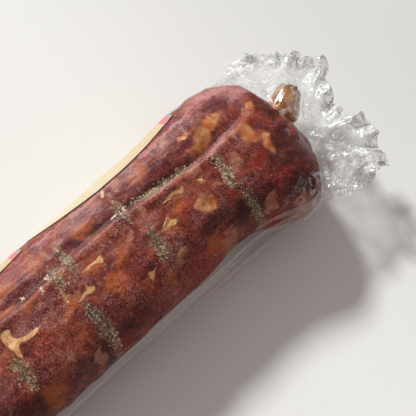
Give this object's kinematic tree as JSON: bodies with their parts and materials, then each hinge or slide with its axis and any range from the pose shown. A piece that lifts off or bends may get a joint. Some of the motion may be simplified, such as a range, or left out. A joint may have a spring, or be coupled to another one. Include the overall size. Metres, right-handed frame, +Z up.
{
  "type": "cured sausage",
  "caption": "Pressed dry-cured sausage, tied off at both ends, sealed in a clear shrink bag with crimped ends and paper labels wrapped under one flank.",
  "frame": {"origin": "middle of the footprint, on the surface that the sausage lies on", "axes": "+X along the sausage towards its head, +Y towards the labelled left flank, +Z up"},
  "size_m": [0.238, 0.0672, 0.0389],
  "materials": {
    "cured_meat": "moist, marbled, under clear film",
    "cotton_twine": "twisted cotton",
    "clear_film": "clear, glossy, wrinkled",
    "label_paper": "coated cream paper"
  },
  "bodies": {
    "root": {"sausage": "cured_meat", "twine_head": "cotton_twine", "twine_foot": "cotton_twine", "shrink_bag": "clear_film", "label_head": "label_paper", "label_foot": "label_paper"}
  },
  "joints": []
}
